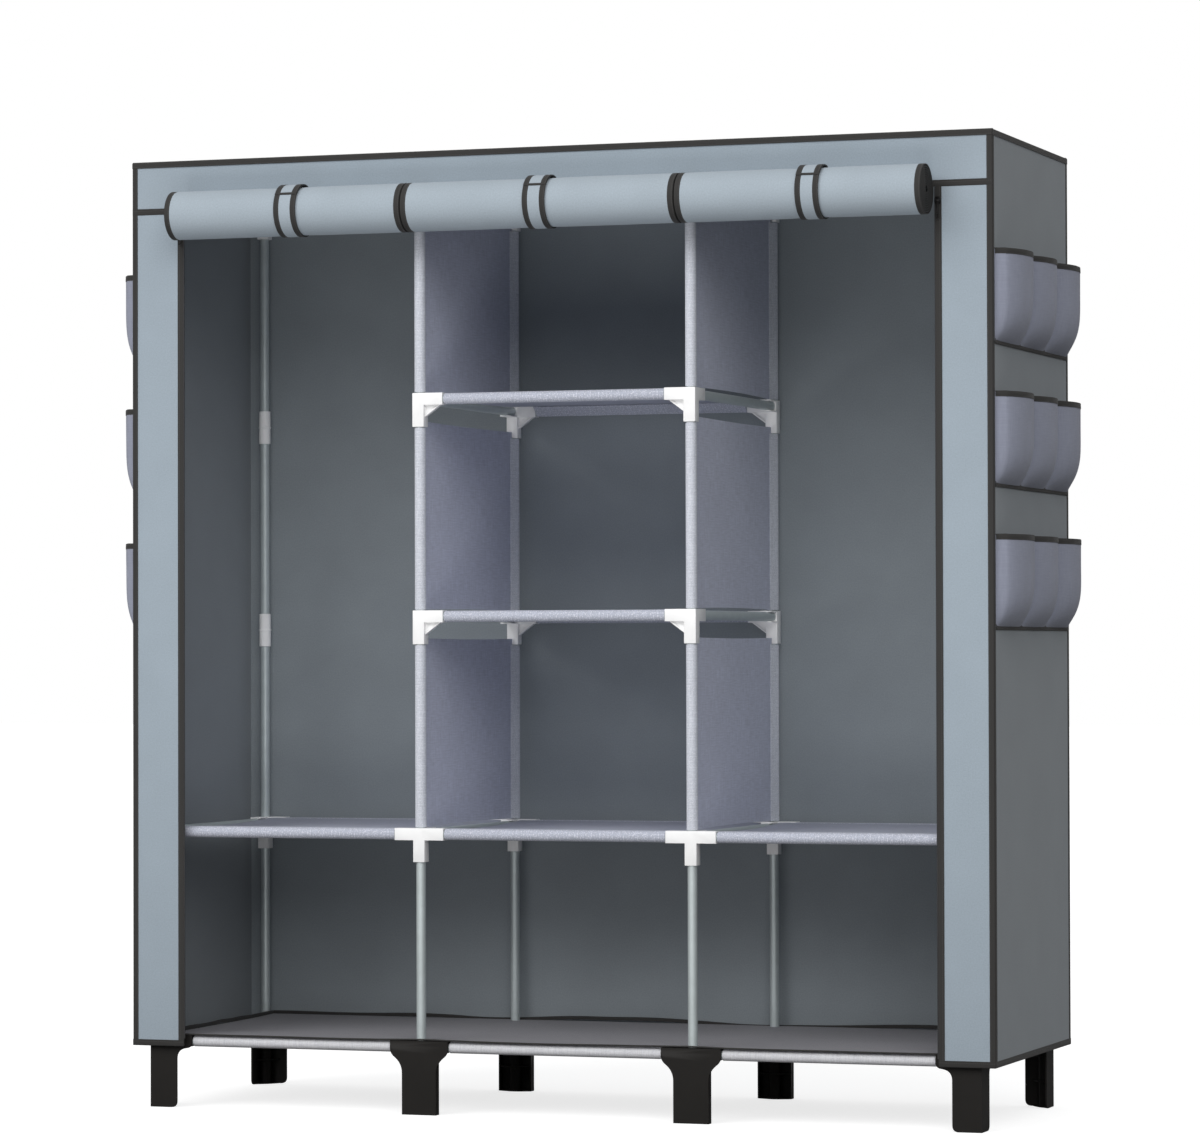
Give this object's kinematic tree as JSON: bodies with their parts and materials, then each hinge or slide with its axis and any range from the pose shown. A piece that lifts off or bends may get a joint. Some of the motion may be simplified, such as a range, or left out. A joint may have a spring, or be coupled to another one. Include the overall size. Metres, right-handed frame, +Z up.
{
  "type": "portable fabric wardrobe",
  "caption": "Tube-frame wardrobe with a sewn cloth cover, cloth shelves and partitions, hanging bays, side pockets, and front curtains rolled up under the header.",
  "frame": {"origin": "on the floor under the middle of the object's box", "axes": "+Z up, +X to the right seen from the front, the front faces -Y"},
  "size_m": [1.579, 0.5804, 1.5916],
  "materials": {
    "steel": "satin",
    "white_plastic": "satin",
    "black_plastic": "satin",
    "cover_cloth": "matte",
    "shelf_cloth": "matte",
    "pocket_cloth": "matte",
    "strap_cloth": "matte",
    "dark_metal": "satin"
  },
  "bodies": {
    "frame_and_cover": {"side_frame_left_outer": "steel", "side_frame_left_inner": "steel", "side_frame_right_inner": "steel", "side_frame_right_outer": "steel", "rail_lower_front": "white_plastic", "rail_lower_back": "white_plastic", "rail_middle_front": "white_plastic", "rail_middle_back": "white_plastic", "rail_upper_front": "white_plastic", "rail_upper_back": "white_plastic", "rail_top_front": "white_plastic", "rail_top_back": "white_plastic", "foot_front_left_outer": "black_plastic", "foot_front_left_inner": "black_plastic", "foot_front_right_inner": "black_plastic", "foot_front_right_outer": "black_plastic", "foot_back_left_outer": "black_plastic", "foot_back_left_inner": "black_plastic", "foot_back_right_inner": "black_plastic", "foot_back_right_outer": "black_plastic", "hanging_rod_left": "steel", "hanging_rod_right": "steel", "shelf_lower_left": "shelf_cloth", "shelf_lower_middle": "shelf_cloth", "shelf_lower_right": "shelf_cloth", "shelf_middle": "shelf_cloth", "shelf_upper": "shelf_cloth", "shelf_base": "shelf_cloth", "partition_left_lower": "shelf_cloth", "partition_left_middle": "shelf_cloth", "partition_left_upper": "shelf_cloth", "partition_right_lower": "shelf_cloth", "partition_right_middle": "shelf_cloth", "partition_right_upper": "shelf_cloth", "cover_top": "cover_cloth", "cover_left": "cover_cloth", "cover_right": "cover_cloth", "cover_back": "cover_cloth", "cover_header": "cover_cloth", "cover_strip_right": "cover_cloth", "cover_strip_left": "cover_cloth", "tie_strap_left": "strap_cloth", "tie_strap_middle": "strap_cloth", "tie_strap_right": "strap_cloth", "pocket_row_left_upper": "pocket_cloth", "pocket_row_right_upper": "pocket_cloth", "pocket_row_left_middle": "pocket_cloth", "pocket_row_right_middle": "pocket_cloth", "pocket_row_left_lower": "pocket_cloth", "pocket_row_right_lower": "pocket_cloth"},
    "curtain_left": {"curtain_left": "cover_cloth"},
    "curtain_middle": {"curtain_middle": "cover_cloth"},
    "curtain_right": {"curtain_right": "cover_cloth"},
    "slider_left": {"zip_slider_left": "dark_metal"},
    "pull_left": {"zip_pull_left": "dark_metal"},
    "slider_right": {"zip_slider_right": "dark_metal"},
    "pull_right": {"zip_pull_right": "dark_metal"}
  },
  "joints": [
    {"name": "curtain_left_drop", "type": "slide", "parent": "frame_and_cover", "child": "curtain_left", "axis": [0, 0, -1], "range_m": [0, 1.345], "deforming": ["tie_strap_left"]},
    {"name": "curtain_middle_drop", "type": "slide", "parent": "frame_and_cover", "child": "curtain_middle", "axis": [0, 0, -1], "range_m": [0, 1.345], "deforming": ["tie_strap_middle"]},
    {"name": "curtain_right_drop", "type": "slide", "parent": "frame_and_cover", "child": "curtain_right", "axis": [0, 0, -1], "range_m": [0, 1.345], "deforming": ["tie_strap_right"]},
    {"name": "zip_left_slide", "type": "slide", "parent": "frame_and_cover", "child": "slider_left", "axis": [0, 0, -1], "range_m": [0, 1.35]},
    {"name": "zip_pull_left_swing", "type": "hinge", "parent": "slider_left", "child": "pull_left", "pos_m": [-0.6593, -0.2089, 1.4798], "axis": [-1, 0, 0], "range_deg": [0, 150]},
    {"name": "zip_right_slide", "type": "slide", "parent": "frame_and_cover", "child": "slider_right", "axis": [0, 0, -1], "range_m": [0, 1.35]},
    {"name": "zip_pull_right_swing", "type": "hinge", "parent": "slider_right", "child": "pull_right", "pos_m": [0.6593, -0.2089, 1.4798], "axis": [-1, 0, 0], "range_deg": [0, 150]}
  ]
}
